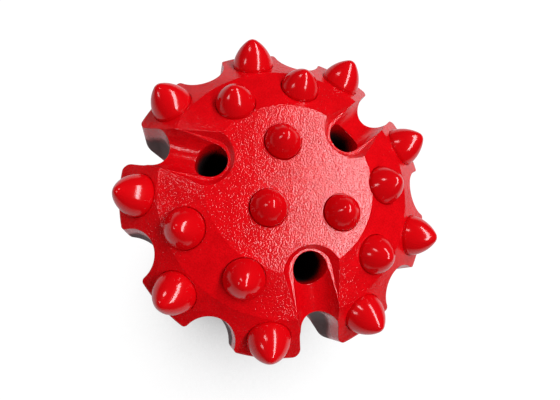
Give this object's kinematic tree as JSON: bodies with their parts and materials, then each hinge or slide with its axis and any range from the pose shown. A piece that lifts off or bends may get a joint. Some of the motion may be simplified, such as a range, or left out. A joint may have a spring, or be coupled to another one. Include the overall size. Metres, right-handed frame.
{
  "type": "button drill bit",
  "caption": "Threaded top-hammer rock drill bit with ballistic carbide buttons on a fluted flat-face head, flushing holes in bevelled channels, and a left-hand rope-thread rod socket.",
  "frame": {"origin": "centre of the skirt's end, on the bit's axis", "axes": "+Z along the bit's axis from the rod socket's mouth to the flat cutting face; +X through the middle of the first main flute and its flushing hole"},
  "size_m": [0.1008, 0.101, 0.1548],
  "materials": {
    "body_paint": "glossy red enamel sprayed over a shot-blasted and machined steel body, grainy on the flat face",
    "button_paint": "smooth high-gloss red enamel over polished tungsten carbide"
  },
  "bodies": {
    "root": {"bit_body": "body_paint", "gauge_button_1": "button_paint", "gauge_button_2": "button_paint", "gauge_button_3": "button_paint", "gauge_button_4": "button_paint", "gauge_button_5": "button_paint", "gauge_button_6": "button_paint", "gauge_button_7": "button_paint", "gauge_button_8": "button_paint", "gauge_button_9": "button_paint", "front_button_1": "button_paint", "front_button_2": "button_paint", "front_button_3": "button_paint", "front_button_4": "button_paint", "front_button_5": "button_paint", "front_button_6": "button_paint", "face_button_1": "button_paint", "face_button_2": "button_paint", "face_button_3": "button_paint"}
  },
  "joints": []
}
